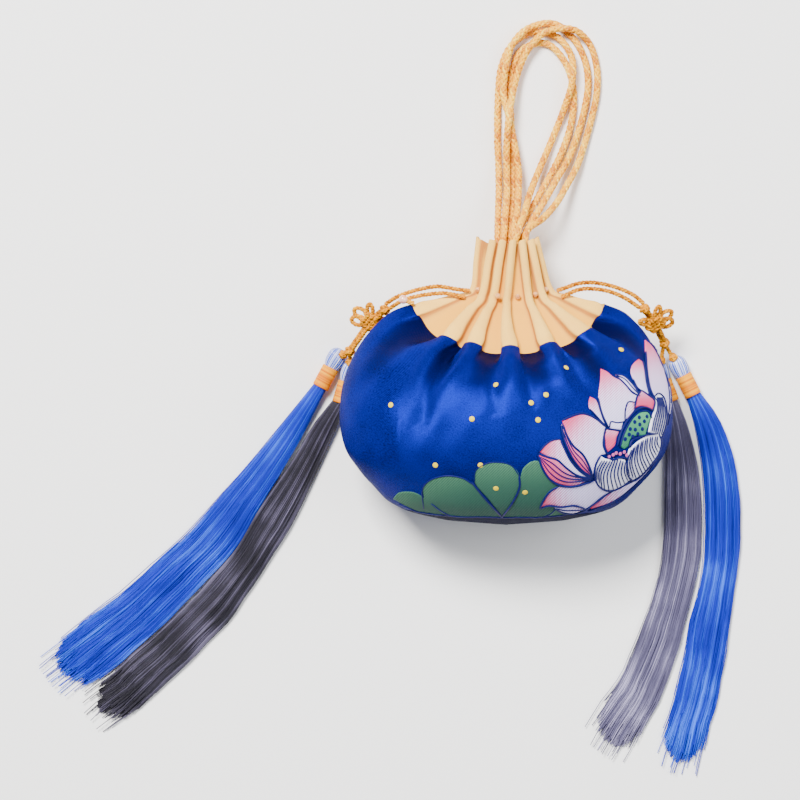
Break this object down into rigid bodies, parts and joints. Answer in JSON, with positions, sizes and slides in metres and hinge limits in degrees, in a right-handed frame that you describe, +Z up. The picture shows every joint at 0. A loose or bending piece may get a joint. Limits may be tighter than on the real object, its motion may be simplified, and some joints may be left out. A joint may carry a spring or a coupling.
{
  "type": "embroidered drawstring purse",
  "caption": "Gathered drawstring purse of blue lotus brocade with a pleated pale neck, cord handles, knots and long thread tassels, lying on its back",
  "frame": {"origin": "on the floor, under the middle of the purse's own bounding box without its cords and tassels", "axes": "+X to the right of the front face and the purse's widest way, +Y from the base to the mouth and the handles, +Z up out of the front face as the purse lies on its back"},
  "size_m": [0.3549, 0.3819, 0.092],
  "materials": {
    "brocade": "royal blue satin brocade with a woven lotus in pink, white and green",
    "neck_twill": "pale straw twill, soft",
    "base_cloth": "navy satin",
    "amber_bead": "clear champagne bead",
    "pearl_bead": "pink pearl bead on a straw drawstring end",
    "satin_cord": "gold satin cord, twisted",
    "knot_cord": "golden yellow knot cord",
    "gold_thread": "gold thread, wound",
    "blue_thread": "blue rayon floss",
    "grey_thread": "dark grey rayon floss"
  },
  "bodies": {
    "root": {"base": "base_cloth", "body": "brocade", "handle_cord_1": "satin_cord", "handle_cord_2": "satin_cord", "handle_cord_3": "satin_cord", "handle_cord_4": "satin_cord", "left_blue_binding": "gold_thread", "left_blue_tassel": "blue_thread", "left_grey_binding": "gold_thread", "left_grey_tassel": "grey_thread", "left_knot": "knot_cord", "left_strand_1": "knot_cord", "left_strand_2": "knot_cord", "neck": "neck_twill", "neck_bead_1": "amber_bead", "neck_bead_10": "amber_bead", "neck_bead_11": "amber_bead", "neck_bead_12": "amber_bead", "neck_bead_2": "amber_bead", "neck_bead_3": "amber_bead", "neck_bead_4": "amber_bead", "neck_bead_6": "amber_bead", "neck_bead_7": "amber_bead", "neck_bead_8": "amber_bead", "neck_bead_9": "amber_bead", "right_blue_binding": "gold_thread", "right_blue_tassel": "blue_thread", "right_grey_binding": "gold_thread", "right_grey_tassel": "grey_thread", "right_knot": "knot_cord", "right_strand_1": "knot_cord", "right_strand_2": "knot_cord", "side_bead": "pearl_bead"}
  },
  "joints": []
}
